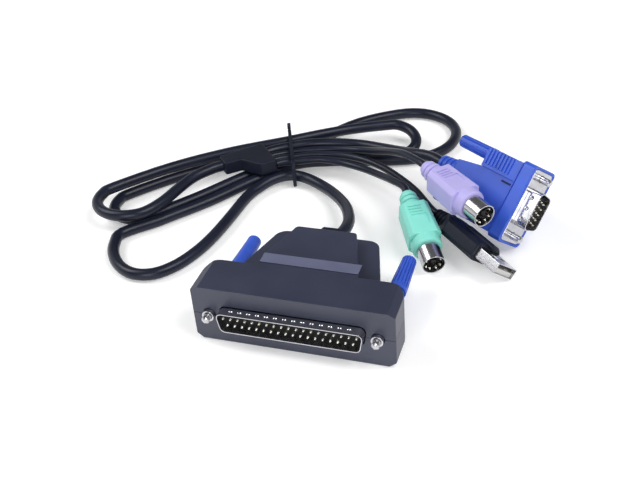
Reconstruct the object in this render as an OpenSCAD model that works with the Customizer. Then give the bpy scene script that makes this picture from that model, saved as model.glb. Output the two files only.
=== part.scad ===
// Console cable: a wide screw-down connector module, a tied hank of round cable and four plugs.
// Millimetres. The origin is on the surface the module stands on, under the middle of its front bar.
// +X runs along the wide connector, the wide connector faces -Y, +Z is up.

/* [Module housing] */
// Width of the front bar
bar_w = 76.4; // [75:0.2:84]
// Depth of the front bar, front to back
bar_d = 18; // [17.5:0.5:22]
// Height of the housing
case_h = 23.6; // [22.6:0.2:28]
// Wall of the two shells
wall = 1.8; // [1.4:0.1:2]
// Radius of the bar's rear corners
bar_corner_r = 6; // [4.5:0.5:6]
// Sideways run of the bevel on the bar's top corners
top_bevel_run = 3; // [1:0.5:4]
// Height of the bevel on the bar's top corners
top_bevel_drop = 1.5; // [0.5:0.5:3]
// Sideways run of the bevel on the bar's bottom corners
foot_bevel_run = 2.6; // [1:0.2:3]
// Height of the bevel on the bar's bottom corners
foot_bevel_rise = 2; // [0.5:0.5:3]
// Length of the hood behind the bar
hood_d = 29.5; // [29:0.5:36]
// Radius of the hood's rear corners
hood_corner_r = 5; // [2:0.5:6]
// Length of the raised middle behind the bar
ridge_d = 27; // [24:0.5:28]
// Length of the blank label strip, front to back
label_d = 5.7; // [3:0.1:8]
// Thickness of the label strip
label_t = 0.3; // [0.2:0.05:0.6]

/* [Wide connector] */
// Contacts in the upper row; the lower row has one less
wide_pins = 19; // [9:1:19]
// Diameter of a contact
pin_d = 1; // [0.8:0.05:1.05]
// Thickness of the flange plates
flange_t = 0.8; // [0.6:0.1:1]
// Length of the rims in front of their flanges
rim_len = 6; // [5.5:0.1:6.4]
// Wall of the rims
rim_t = 0.5; // [0.3:0.05:0.6]

/* [Hand screws] */
// Diameter of the screw shanks
screw_d = 2.84; // [2.6:0.02:2.9]
// Length of the long knobs of the module
knob_len = 19; // [14:0.5:24]
// Diameter of the module's knobs at their base
knob_d = 7; // [5.6:0.1:7.4]
// Diameter of the module's knobs at their tip
knob_tip_d = 5.6; // [4.8:0.1:6]
// Length of the thin neck between a knob and the bar
neck_len = 8.4; // [5:0.2:12]
// Free run of the module's screws towards the socket
screw_out = 2.2; // [1:0.1:2.2]
// Free run of the module's screws away from the socket
screw_back = 2.4; // [1:0.1:2.4]

/* [Cable] */
// Diameter of the round cable
cable_d = 5; // [4.6:0.1:5]
// Diameter of the thin tails
tail_d = 3.2; // [2.8:0.1:3.2]
// Reach of the hank's upper end loop to the left of the tie
hank_reach_left = 94; // [88:1:100]
// Reach of the hank's loops to the right of the tie
hank_reach_right = 88; // [78:1:90]

/* [Small screw plug] */
// Width of the small screw plug's front plate
vga_plate_w = 33.2; // [33:0.2:35]
// Height of the front plate
vga_plate_h = 15.6; // [15.4:0.2:17]
// Length of the front plate
vga_plate_t = 6; // [5:0.2:8]
// Length of the ribbed grips behind the plate
vga_grip_len = 19; // [15:0.5:21]
// Length of the body from the flange to the strain relief
vga_body_len = 38; // [36:0.5:42]
// Length of the strain relief
vga_relief_len = 10; // [9:0.5:16]
// Height of the small plug's flange
vga_flange_h = 12.5; // [12:0.1:13]
// Height of the small plug's metal rim
vga_rim_h = 8.36; // [8.2:0.02:8.6]
// Width of the small plug's flange
vga_flange_w = 30.8; // [30.4:0.1:31.2]
// Distance between the two screws of the small plug
vga_screw_span = 25; // [24.8:0.02:25.2]
// Width of the small plug's metal rim
vga_rim_w = 16.9; // [16.7:0.1:17.1]
// Length of the small plug's knobs
vga_knob_len = 19; // [13:0.5:22]
// Diameter of the small plug's knobs
vga_knob_d = 5.9; // [4.8:0.1:6.2]
// Free run of the small plug's screws away from the socket
vga_screw_back = 2.5; // [1:0.1:2.5]

/* [Round plugs] */
// Outer diameter of the round plugs' metal sleeve
sleeve_d = 9.5; // [9.3:0.05:9.6]
// Length of sleeve that shows
sleeve_len = 8.2; // [7:0.1:9]
// Wall of the sleeve
sleeve_t = 0.4; // [0.3:0.05:0.5]
// Diameter of the collar behind the sleeve
collar_d = 12.6; // [11.6:0.1:13]
// Length of the collar
collar_len = 5.8; // [4:0.1:7]
// Width of the grip block
grip_w = 13.4; // [12.8:0.1:14]
// Height of the grip block
grip_h = 11.8; // [10.6:0.1:12]
// Length of the grip block
grip_len = 17; // [14:0.5:20]
// Length of the ribbed tail of a round plug
relief_len = 9; // [6:0.5:12]

/* [Flat plug] */
// Width of the flat plug's metal shell
flat_w = 12; // [11.8:0.05:12.2]
// Height of the metal shell
flat_h = 4.5; // [4.4:0.05:4.6]
// Length of the shell that shows
flat_len = 12; // [10:0.5:13]
// Wall of the metal shell
flat_t = 0.3; // [0.25:0.05:0.35]
// Width of the flat plug's grip
flat_grip_w = 15.6; // [14.5:0.1:16]
// Height of the flat plug's grip
flat_grip_h = 8; // [7.5:0.1:8.4]
// Length of the flat plug's grip
flat_grip_len = 24; // [20:0.5:27]
// Length of the flat plug's ribbed tail
flat_relief_len = 8; // [6:0.5:10]

/* [Hidden] */

// Clearances and overruns
fit = 0.05;
loose = 0.1;
gap = 0.3;
over = 1;
round_steps = 5;

// Shares of the bar's width and of the case's height
hood_front_share = 0.7592;
hood_rear_share = 0.5236;
ridge_front_share = 0.5497;
ridge_rear_share = 0.3141;
label_share = 0.495;
flange_w_share = 0.90707;
screw_span_share = 0.83115;
rim_w_share = 0.72513;
pin_zone_share = 0.65262;
shoulder_share = 0.195;
seam_share = 0.50847;
flange_h_share = 0.53;
rim_h_share = 0.3542;
row_share = 0.34;
hood_front_w = bar_w * hood_front_share;
hood_rear_w = bar_w * hood_rear_share;
ridge_front_w = bar_w * ridge_front_share;
ridge_rear_w = bar_w * ridge_rear_share;
label_w = bar_w * label_share;
flange_w = bar_w * flange_w_share;
screw_span = bar_w * screw_span_share;
rim_w = bar_w * rim_w_share;
pin_pitch = bar_w * pin_zone_share / (wide_pins - 1);
shoulder_drop = case_h * shoulder_share;
seam_z = case_h * seam_share;
flange_h = case_h * flange_h_share;
rim_h = case_h * rim_h_share;
row_pitch = rim_h * row_share;

// Places along the module, from its front face
front_y = -bar_d / 2;
rear_y = bar_d / 2;
flange_y = front_y + wall;
rim_y = flange_y - rim_len;
hood_y = rear_y + hood_d;
ridge_y = rear_y + ridge_d;
edge_r = 0.5;
ridge_corner_r = 1.5;
screw_x = screw_span / 2;

// Insides of the wide connector
insulator_recess = 3.6;
insulator_y = rim_y + insulator_recess;
back_shell_len = 4.8;
back_shell_rim = 1;
back_y = flange_y + flange_t + back_shell_len;
pin_tip_recess = 0.8;
pin_tip_y = rim_y + pin_tip_recess;
pin_point_len = 0.5;
cup_d = 1.6;
cup_len = 3.6;
rim_slope = 10;
rim_corner_r = 2.2;
flange_corner_r = 1.5;
flange_hole_d = 3.05;

// Ferrules, guides and clips of the screws
screw_neck = 0.64;
ferrule_d = 4.6;
ferrule_stand = 1.6;
shank_d = screw_d - screw_neck;
shank_bore_d = shank_d + 2 * fit;
screw_bore_d = screw_d + 2 * loose;
guide_t = 1.5;
guide_in = screw_x - rim_w / 2 - back_shell_rim - gap;
guide_out = 4;
clip_t = 0.8;
clip_d = 5.4;
groove_d = 1.6;
clip_y = flange_y + flange_t + guide_t + fit + screw_out + gap;
guide_y = clip_y + clip_t + screw_back + gap;
screw_stand = 4.4;
screw_point_len = 0.5;
neck_d = 5.4;
knob_y = rear_y + screw_out + gap;
grip_start_y = knob_y + neck_len;
knob_dome = 3;
flutes = 12;
flute_depth = 0.35;
knob_hold_len = 11;

// Grommet, clamp and case screws
exit_x = 1;
grommet_flange_d = case_h - 2 * (shoulder_drop + wall + gap);
grommet_flange_t = 1.5;
grommet_neck_lip = 1.1;
grommet_neck_d = grommet_flange_d - 2 * grommet_neck_lip;
grommet_nose_d = 9.6;
grommet_tip_d = 8.8;
grommet_nose_len = 7.4;
grommet_groove_d = 7.8;
grommet_groove_w = 0.9;
grommet_collar_w = 9.6;
grommet_collar_t = 3.2;
grommet_collar_up = 8.6;
grommet_collar_down = 4.4;
grommet_collar_edge = 1.6;
exit_y = hood_y + loose + grommet_nose_len;
clamp_back = 11.5;
clamp_y = hood_y - clamp_back;
clamp_len = 4;
clamp_w = 18;
clamp_h = 4;
clamp_screw_x = 6;
clamp_screw_d = 2;
clamp_head_d = 3.8;
clamp_head_h = 1.3;
clamp_screw_len = 9;
inner_end_len = 2;
post_x = 14;
post_from_bar = 7;
post_y = rear_y + post_from_bar;
post_d = 5.6;
case_screw_d = 2;
case_head_d = 4.4;
case_head_h = 1.8;
case_head_depth = 2.6;
case_screw_up = 7;
wire_d = 0.7;
wire_count = 6;
wire_pitch = 0.8;
label_y = rear_y + 1.8;
label_x = 0.6;
label_sink = 0.2;

// Cable hank: a spine bent to a steady radius, and the offsets of the loops from it.
// Near is the side of the module and far the other side; k runs from 0 inside to 1 outside.
hank_tie = [-45, 119];
hank_heading = 34;
hank_bend_r = 250;
whole_loops = 2;
loop_rings = 24;
loop_sides = 6;
waist_len = 30;
turn_back = 1.5;
loop_step = 9.2;
loop_step_right = 37;
near_waist = 0.75;
near_left = 10.6;
near_right = 10;
far_waist = -1;
far_left = 4.6;
far_right = 3;
top_shift = 4;
end_lean = -4;
end_a = -34;
lower_reach_drop = 7;
inner_reach_step = 30;
tie_t = 1.2;
lay_gap = 0.1;
layer_gap = 0.5;
cable_r = cable_d / 2;
tail_r = tail_d / 2;
floor_z = cable_r + lay_gap;
waist_z = floor_z + tie_t + lay_gap;
layer_z = cable_d + layer_gap;

// Tie band round the waist
tie_w = 1.6;
tie_heading = 22;
tie_near = -22.8;
tie_far = 8.5;
tie_nub_len = 3;
tie_nub_d = 1.6;

// Splitter on top of the hank, left of the tie
splitter_a = end_a;
splitter_len = 22;
splitter_back_w = 8;
splitter_front_w = 18.4;
splitter_h = 6.4;
splitter_z = waist_z + layer_z;
exit_lats = [-3.2, -7.8, -11.7, -15.5];
splitter_mid_lat = -8;
splitter_flare_shares = [0.35, 0.65];
splitter_edge = 1.2;

// Places of the plugs on the table, and their turns: pitch, roll and heading
vga_at = [70.9, 75.1, 17.6];
vga_turn = [0, -52, 55];
keyboard_at = [56.7, 59.3, 22];
keyboard_turn = [4, 0, 47];
mouse_at = [39.5, 46.7, 5];
mouse_turn = [13, 0, 29];
usb_at = [67.2, 46.7, 6.1];
usb_turn = [4, 40, 48];
vga_len = vga_body_len + vga_relief_len;
round_len = sleeve_len + collar_len + grip_len + relief_len;
flat_len_all = flat_len + flat_grip_len + flat_relief_len;

// Small screw plug
vga_corner_r = 2;
vga_grip_in = 7;
vga_grip_h = 13.4;
vga_grip_ribs = 8;
vga_grip_cut = 0.5;
vga_knob_tip_share = 0.9;
vga_grip_side = 1.3;
vga_rib_zone = 14;
vga_body_front_w = 18.6;
vga_body_rear_w = 10;
vga_body_front_h = 13;
vga_body_rear_h = 9.6;
vga_relief_d = 9.4;
vga_relief_tip_d = 7.4;
vga_relief_cut = 0.7;
vga_relief_ribs = 3;
vga_clip_y = 8.3;
vga_screw_stand = 4.8;
vga_pin_pitch = 2.29;
vga_row_pitch = 1.98;
vga_pin_d = 0.76;
vga_block_w = 18.4;
vga_block_h = 9.6;
vga_block_len = 4;

// Round plugs
round_pin_d = 0.95;
round_pin_ring_d = 6.6;
round_pin_angles = [-150, -90 - 22, -90 + 22, -30, 30, 150];
round_disc_y = 4.5;
round_key_w = 2;
round_key_h = 1.4;
grip_chamfer = 2.4;
grip_rear_share = 0.8;
relief_tip_share = 0.78;
relief_cut = 0.6;
relief_ribs = 3;
relief_d = 8.2;
sleeve_hold = 1.3;
sleeve_step = 0.8;
sleeve_disc_gap = 0.1;

// Flat plug
flat_window = 2.4;
flat_window_y = 5.2;
flat_window_x = 2.6;
tongue_h = 1.9;
tongue_t_gap = 0.15;
contact_w = 1.1;
contact_t = 0.15;
contact_len = 8;
contact_pitch = 2.3;
flat_hold = 1.4;
flat_grip_chamfer = 1.8;
flat_shoulder_len = 5;
flat_neck_w = 8;
flat_relief_tip_d = 5;
mark_t = 0.3;
mark_w = 0.6;
mark_len = 5;
mark_pitch = 1.7;

// Routes of the free stretches, laid by hand: a stretch ends where its plug or the hank begins
lead_route = [[1, 50, 12], [1.4, 56, 11.4], [0.2, 63.6, 10.2], [-4.4, 75, 8], [-11.6, 85.6, 5.8],
    [-20.6, 94.6, 4.2], [-30.6, 100.2, 4.2], [-38.6, 101.5, 4.1], [-45.2, 97.1, 4], [-49.8, 90.6, 3.2],
    [-53, 81.9, 2.6], [-54.4, 64.5, 2.6], [-56, 49.9, 2.6], [-58.6, 38.3, 2.6], [-63, 27.8, 2.6],
    [-69.6, 20.4, 2.6], [-78, 18.6, 2.6], [-86, 22.2, 2.6], [-92.4, 29.2, 2.6], [-95.8, 37, 2.6],
    [-96, 44.2, 2.6]];
vga_route = [[-44, 117.4, 9.4], [-34.8, 122.2, 9.4], [-24, 124.6, 9.4], [-12, 125, 9.6],
    [0, 121.6, 10.8], [10, 116, 13.4], [18, 110.4, 16.4]];
keyboard_route = [[-41.6, 113.4, 9], [-32.2, 117.6, 9], [-21.6, 119.4, 9.4], [-10.6, 118, 11],
    [-1, 112, 15], [7.4, 105, 19.6], [15.4, 97.8, 23.4]];
usb_route = [[-39, 109.8, 8.9], [-29.6, 114.2, 8.8], [-18, 115, 9], [-7, 112.2, 9.6],
    [3.4, 106.4, 10.2], [13, 98.8, 10.4], [22.4, 89.8, 10.4]];
mouse_route = [[-36.8, 106.4, 8.8], [-26.6, 110.4, 8.6], [-15.6, 110, 8], [-5, 105.4, 9],
    [4.4, 98.4, 11], [12, 91, 13.6]];

// Plane and vector helpers
function unit(v) = v / norm(v);
function arc_points(c, p, q, n) =
    let (start = atan2(p.y - c.y, p.x - c.x), stop = atan2(q.y - c.y, q.x - c.x),
        sweep = (stop - start + 540) % 360 - 180)
    [for (i = [0:n]) c + norm(p - c) * [cos(start + sweep * i / n), sin(start + sweep * i / n)]];
function corner_points(a, p, b, r) =
    let (u = unit(a - p), v = unit(b - p), half = acos(u * v) / 2, c = p + unit(u + v) * r / sin(half))
    arc_points(c, p + u * r / tan(half), p + v * r / tan(half), round_steps);
function rounded(pts, radii) =
    let (n = len(pts))
    [for (i = [0:n - 1]) each (radii[i] > 0
        ? corner_points(pts[(i + n - 1) % n], pts[i], pts[(i + 1) % n], radii[i]) : [pts[i]])];
function box_points(w, h, r) =
    rounded([[-w / 2, -h / 2], [w / 2, -h / 2], [w / 2, h / 2], [-w / 2, h / 2]], [r, r, r, r]);
function chamfer_points(w, h, c) =
    [[-w / 2 + c, -h / 2], [w / 2 - c, -h / 2], [w / 2, -h / 2 + c], [w / 2, h / 2 - c],
        [w / 2 - c, h / 2], [-w / 2 + c, h / 2], [-w / 2, h / 2 - c], [-w / 2, -h / 2 + c]];
function rim_points(w, h, grow) =
    let (top = w / 2 + grow, low = w / 2 + grow - (h + 2 * grow) * tan(rim_slope), z = h / 2 + grow,
        r = rim_corner_r + grow)
    rounded([[-low, -z], [low, -z], [top, z], [-top, z]], [r, r, r, r]);
function taper_plan(y0, w0, y1, w1, r) =
    rounded([[-w0 / 2, y0], [w0 / 2, y0], [w1 / 2, y1], [-w1 / 2, y1]], [0, 0, r, r]);
function width_at(y, y0, w0, y1, w1) = w0 + (w1 - w0) * (y - y0) / (y1 - y0);

// A drawing in X and Z pushed along +Y from y0, and a round rod, bore or cone along +Y
module push_y(y0, length) {
    translate([0, y0 + length, 0]) rotate([90, 0, 0]) linear_extrude(length) children();
}
module rod_y(d, y0, length) {
    translate([0, y0 + length, 0]) rotate([90, 0, 0]) cylinder(h = length, d = d, $fn = 48);
}
module cone_y(d0, d1, y0, length) {
    translate([0, y0, 0]) rotate([-90, 0, 0]) cylinder(h = length, d1 = d0, d2 = d1, $fn = 48);
}
module laid(at, turn) {
    translate(at) rotate([turn.x, 0, turn.z]) rotate([0, turn.y, 0]) children();
}
module both_sides(x) {
    for (side = [-1, 1]) translate([side * x, 0, 0]) children();
}

// Smooth routes and swept tubes
function curve_at(a, b, c, d, t) =
    0.5 * (2 * b + (c - a) * t + (2 * a - 5 * b + 4 * c - d) * t * t + (3 * b - a - 3 * c + d) * t * t * t);
function smooth(pts, steps) =
    let (n = len(pts), first = 2 * pts[0] - pts[1], last = 2 * pts[n - 1] - pts[n - 2])
    [for (i = [0:n - 2]) for (j = [0:steps - 1])
        curve_at(i > 0 ? pts[i - 1] : first, pts[i], pts[i + 1], i < n - 2 ? pts[i + 2] : last, j / steps),
        pts[n - 1]];
function heading_at(path, i) =
    unit(path[min(i + 1, len(path) - 1)] - path[max(i - 1, 0)]);
function ring(c, dir, r, sides) =
    let (side = unit(cross(dir, [0, 0, 1])), up = cross(side, dir))
    [for (s = [0:sides - 1]) let (t = 360 * (s + 0.5) / sides) c + r * (cos(t) * side + sin(t) * up)];
module tube(path, r, sides) {
    rings = len(path);
    points = [for (i = [0:rings - 1]) each ring(path[i], heading_at(path, i), r, sides)];
    skin = [for (i = [0:rings - 2]) for (s = [0:sides - 1])
        let (a = i * sides + s, b = i * sides + (s + 1) % sides)
        each [[a, b, b + sides], [a, b + sides, a + sides]]];
    caps = [for (s = [1:sides - 2]) each [[0, s + 1, s],
        [(rings - 1) * sides, (rings - 1) * sides + s, (rings - 1) * sides + s + 1]]];
    polyhedron(points = points, faces = concat(skin, caps), convexity = 10);
}

// The housing's outer form, or with inset = wall the hollow inside it
function bar_section(inset) =
    let (w = bar_w / 2 - inset, low = inset, high = case_h - inset)
    [[-w + foot_bevel_run, low], [w - foot_bevel_run, low], [w, low + foot_bevel_rise],
        [w, high - top_bevel_drop], [w - top_bevel_run, high], [-w + top_bevel_run, high],
        [-w, high - top_bevel_drop], [-w, low + foot_bevel_rise]];
module case_form(inset) {
    hood_start = rear_y - bar_corner_r / 2;
    intersection() {
        translate([0, 0, inset]) linear_extrude(case_h - 2 * inset) polygon(rounded(
            [[-bar_w / 2 + inset, front_y + inset], [bar_w / 2 - inset, front_y + inset],
                [bar_w / 2 - inset, rear_y - inset], [-bar_w / 2 + inset, rear_y - inset]],
            [edge_r, edge_r, bar_corner_r - inset, bar_corner_r - inset]));
        push_y(front_y - over, bar_d + 2 * over) polygon(bar_section(inset));
    }
    translate([0, 0, shoulder_drop + inset]) linear_extrude(case_h - 2 * shoulder_drop - 2 * inset)
        polygon(taper_plan(hood_start, hood_front_w - 2 * inset, hood_y - inset,
            hood_rear_w - 2 * inset, hood_corner_r - inset));
    translate([0, 0, inset]) linear_extrude(case_h - 2 * inset)
        polygon(taper_plan(hood_start, ridge_front_w - 2 * inset, ridge_y - inset,
            ridge_rear_w - 2 * inset, ridge_corner_r));
}
module inner_ribs() {
    for (side = [0, 1]) mirror([side, 0, 0]) translate([-screw_x, 0, 0]) {
        for (y = [flange_y + flange_t + fit, guide_y]) translate([-guide_out, y, 0])
            cube([guide_in + guide_out, guide_t, case_h]);
    }
    both_sides(post_x) translate([0, post_y, 0]) cylinder(h = case_h, d = post_d, $fn = 48);
}
module screw_passages() {
    translate([0, 0, seam_z]) {
        both_sides(screw_x) {
            rod_y(ferrule_d + 2 * loose, front_y - over, wall + over);
            rod_y(shank_bore_d, front_y, bar_d + over);
        }
        push_y(front_y - over, wall + over) polygon(rim_points(rim_w, rim_h, gap));
        translate([exit_x, 0, 0]) rod_y(grommet_neck_d + 2 * loose, ridge_y - 2 * wall, hood_d);
    }
}
module shell_half(low, high) {
    difference() {
        intersection() {
            union() {
                difference() {
                    case_form(0);
                    case_form(wall);
                }
                intersection() {
                    inner_ribs();
                    case_form(0);
                }
            }
            translate([-bar_w, -bar_w, low]) cube([2 * bar_w, 2 * bar_w, high - low]);
        }
        screw_passages();
    }
}
module top_shell() {
    color([0.17, 0.19, 0.27]) difference() {
        shell_half(seam_z, case_h + over);
        both_sides(post_x) translate([0, post_y, seam_z - over])
            cylinder(h = case_screw_up + 2 * over, d = case_screw_d + 2 * fit, $fn = 32);
        translate([label_x - label_w / 2 - fit, label_y - fit, case_h - label_sink])
            cube([label_w + 2 * fit, label_d + 2 * fit, over]);
    }
}
module bottom_shell() {
    color([0.17, 0.19, 0.27]) difference() {
        union() {
            shell_half(-over, seam_z);
            translate([exit_x - clamp_w / 2, clamp_y, wall / 2]) cube([clamp_w, clamp_len, seam_z - wall / 2]);
        }
        both_sides(post_x) translate([0, post_y, -over]) {
            cylinder(h = seam_z + 2 * over, d = case_screw_d + 2 * loose, $fn = 32);
            cylinder(h = case_head_depth + over, d = case_head_d + 2 * loose, $fn = 48);
        }
        translate([exit_x, 0, seam_z]) {
            rod_y(cable_d + 2 * fit, clamp_y - over, clamp_len + 2 * over);
            both_sides(clamp_screw_x) translate([0, clamp_y + clamp_len / 2, -clamp_screw_len + clamp_h])
                cylinder(h = clamp_screw_len, d = clamp_screw_d + 2 * fit, $fn = 32);
        }
    }
}
module label_strip() {
    color([0.38, 0.38, 0.47]) translate([label_x - label_w / 2, label_y, case_h - label_sink])
        cube([label_w, label_d, label_t]);
}

// Wide connector
function pin_places() = [for (row = [0, 1]) for (i = [0:wide_pins - 1 - row])
    [(i - (wide_pins - 1 - row) / 2) * pin_pitch, (0.5 - row) * row_pitch]];
module contact(d, tip_y, back) {
    cone_y(d / 2, d, tip_y, pin_point_len);
    rod_y(d, tip_y + pin_point_len, back - tip_y - pin_point_len);
}
module connector_flange() {
    color([0.8, 0.8, 0.82]) translate([0, 0, seam_z]) difference() {
        union() {
            push_y(flange_y, flange_t) polygon(box_points(flange_w, flange_h, flange_corner_r));
            push_y(rim_y, rim_len + flange_t / 2) polygon(rim_points(rim_w, rim_h, 0));
        }
        push_y(rim_y - over, rim_len + flange_t + 2 * over) polygon(rim_points(rim_w, rim_h, -rim_t));
        both_sides(screw_x) rod_y(flange_hole_d, flange_y - over, flange_t + 2 * over);
    }
}
module connector_back_shell() {
    color([0.7, 0.7, 0.72]) translate([0, 0, seam_z]) difference() {
        push_y(flange_y + flange_t, back_shell_len) polygon(rim_points(rim_w, rim_h, back_shell_rim));
        push_y(flange_y, back_shell_len + 2 * over) polygon(rim_points(rim_w, rim_h, back_shell_rim - rim_t));
    }
}
module connector_insulator() {
    color([0.05, 0.05, 0.06]) translate([0, 0, seam_z]) difference() {
        union() {
            push_y(insulator_y, flange_y - insulator_y + over) polygon(rim_points(rim_w, rim_h, -rim_t - fit));
            push_y(flange_y + flange_t + fit, back_shell_len)
                polygon(rim_points(rim_w, rim_h, back_shell_rim - rim_t - fit));
        }
        for (p = pin_places()) translate([p[0], 0, p[1]])
            rod_y(pin_d + 2 * fit, insulator_y - over, back_y - insulator_y + 2 * over);
    }
}
module connector_pins() {
    color([0.85, 0.8, 0.6]) for (p = pin_places()) translate([p[0], 0, seam_z + p[1]]) {
        contact(pin_d, pin_tip_y, back_y + loose);
        rod_y(cup_d, back_y + loose, cup_len);
    }
}

// Screws, knobs, ferrules and clips; clip_from is the front face of the groove for the clip
module ferrule() {
    difference() {
        rod_y(ferrule_d, front_y - ferrule_stand, wall + ferrule_stand - fit);
        rod_y(screw_bore_d, front_y - ferrule_stand - over, wall + ferrule_stand + 2 * over);
    }
}
module hand_screw(tip_y, neck_y, clip_from, end_y) {
    cone_y(groove_d, screw_d, tip_y, screw_point_len);
    rod_y(screw_d, tip_y + screw_point_len, neck_y - tip_y - screw_point_len);
    rod_y(shank_d, neck_y, clip_from - fit - neck_y);
    rod_y(groove_d, clip_from - fit, clip_t + 2 * fit);
    rod_y(shank_d, clip_from + clip_t + fit, end_y - clip_from - clip_t - fit);
}
module clip_ring(y, outer_d) {
    difference() {
        rod_y(outer_d, y, clip_t);
        rod_y(groove_d + 2 * fit, y - over, clip_t + 2 * over);
    }
}
function flute_points(d) = [for (i = [0:2 * flutes - 1]) let (t = 180 * (i + 0.5) / flutes, r = d / 2
    - (floor(i / 2) % 2 == 0 ? 0 : flute_depth)) r * [cos(t), sin(t)]];
module knob(start_y, length, base_d, tip_d, dome, hold) {
    difference() {
        intersection() {
            union() {
                cone_y(base_d, tip_d, start_y, length - dome);
                translate([0, start_y + length - dome, 0]) rotate([-90, 0, 0]) rotate_extrude($fn = 48)
                    polygon(concat([[0, 0]], [for (i = [0:round_steps]) let (t = 90 * i / round_steps)
                        [tip_d / 2 * (0.4 + 0.6 * cos(t)) - (i == round_steps ? tip_d * 0.2 : 0),
                            dome * sin(t)]]));
            }
            push_y(start_y, length) polygon(flute_points(base_d));
        }
        rod_y(shank_bore_d, start_y - over, hold + over);
    }
}
module module_screw(side) {
    color([0.75, 0.75, 0.77]) translate([side * screw_x, 0, seam_z])
        hand_screw(front_y - screw_stand, front_y - ferrule_stand - fit, clip_y,
            grip_start_y + knob_hold_len);
}
module module_knob(side) {
    color([0.13, 0.27, 0.85]) translate([side * screw_x, 0, seam_z]) {
        knob(grip_start_y, knob_len, knob_d, knob_tip_d, knob_dome, knob_hold_len);
        difference() {
            rod_y(neck_d, knob_y, neck_len);
            rod_y(shank_bore_d, knob_y - over, neck_len + 2 * over);
        }
    }
}
module module_clip(side) {
    color([0.6, 0.6, 0.62]) translate([side * screw_x, 0, seam_z]) clip_ring(clip_y, clip_d);
}
module screw_ferrules() {
    color([0.8, 0.8, 0.82]) translate([0, 0, seam_z]) both_sides(screw_x) ferrule();
}
module left_jackscrew() { module_screw(-1); }
module right_jackscrew() { module_screw(1); }
module left_knob() { module_knob(-1); }
module right_knob() { module_knob(1); }
module left_screw_clip() { module_clip(-1); }
module right_screw_clip() { module_clip(1); }

// Where the cable enters the housing
module cable_grommet() {
    color([0.08, 0.08, 0.1]) translate([exit_x, 0, seam_z]) difference() {
        union() {
            rod_y(grommet_flange_d, hood_y - wall - fit - grommet_flange_t, grommet_flange_t);
            rod_y(grommet_neck_d, hood_y - wall - fit - grommet_flange_t / 2, wall + grommet_flange_t);
            cone_y(grommet_nose_d, grommet_tip_d, hood_y + loose, grommet_nose_len);
            translate([-exit_x, hood_y + loose + grommet_collar_t, 0]) rotate([90, 0, 0])
                linear_extrude(grommet_collar_t) polygon([
                    [-grommet_collar_w / 2, -grommet_collar_down],
                    [grommet_collar_w / 2, -grommet_collar_down],
                    [grommet_collar_w / 2, grommet_collar_up - grommet_collar_edge],
                    [grommet_collar_w / 2 - grommet_collar_edge, grommet_collar_up],
                    [grommet_collar_edge - grommet_collar_w / 2, grommet_collar_up],
                    [-grommet_collar_w / 2, grommet_collar_up - grommet_collar_edge]]);
        }
        rod_y(cable_d + 2 * fit, hood_y - 2 * wall - grommet_flange_t, grommet_nose_len + 3 * wall + grommet_flange_t);
        for (i = [1, 2]) difference() {
            rod_y(grommet_nose_d + over, hood_y + grommet_nose_len * i / 3, grommet_groove_w);
            rod_y(grommet_groove_d, hood_y, grommet_nose_len + over);
        }
    }
}
module cable_clamp() {
    color([0.7, 0.7, 0.72]) difference() {
        translate([exit_x - clamp_w / 2, clamp_y, seam_z + fit]) cube([clamp_w, clamp_len, clamp_h]);
        translate([exit_x, 0, seam_z]) {
            rod_y(cable_d + 2 * fit, clamp_y - over, clamp_len + 2 * over);
            both_sides(clamp_screw_x) translate([0, clamp_y + clamp_len / 2, -over])
                cylinder(h = clamp_h + 2 * over, d = clamp_screw_d + 2 * fit, $fn = 32);
        }
    }
}
module clamp_screws() {
    color([0.75, 0.75, 0.77]) both_sides(clamp_screw_x)
        translate([exit_x, clamp_y + clamp_len / 2, seam_z + fit + clamp_h + fit]) {
            cylinder(h = clamp_head_h, d = clamp_head_d, $fn = 32);
            translate([0, 0, -clamp_screw_len]) cylinder(h = clamp_screw_len, d = clamp_screw_d, $fn = 32);
        }
}
module case_screws() {
    color([0.6, 0.6, 0.62]) both_sides(post_x)
        translate([0, post_y, case_head_depth - case_head_h - fit]) {
            cylinder(h = case_head_h, d = case_head_d, $fn = 32);
            cylinder(h = seam_z + case_screw_up - case_head_depth, d = case_screw_d, $fn = 32);
        }
}
module cable_inner_end() {
    color([0.09, 0.1, 0.16]) translate([exit_x, 0, seam_z])
        rod_y(cable_d, clamp_y - inner_end_len, exit_y - clamp_y + inner_end_len);
}
module rod_between(a, b, d) {
    v = b - a;
    translate(a) rotate([0, acos(v.z / norm(v)), atan2(v.y, v.x)]) cylinder(h = norm(v), d = d, $fn = 16);
}
module conductors() {
    start = back_y + loose + cup_len + gap;
    color([0.7, 0.2, 0.15]) for (row = [-1, 1]) for (i = [0:wire_count - 1])
        rod_between([(i - (wire_count - 1) / 2) * 2 * pin_pitch - (row > 0 ? pin_pitch : pin_pitch / 2),
                start, seam_z + row * row_pitch / 2],
            [exit_x + (i - (wire_count - 1) / 2) * wire_pitch, clamp_y - inner_end_len - gap,
                seam_z + row * wire_pitch / 2], wire_d);
}

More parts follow.
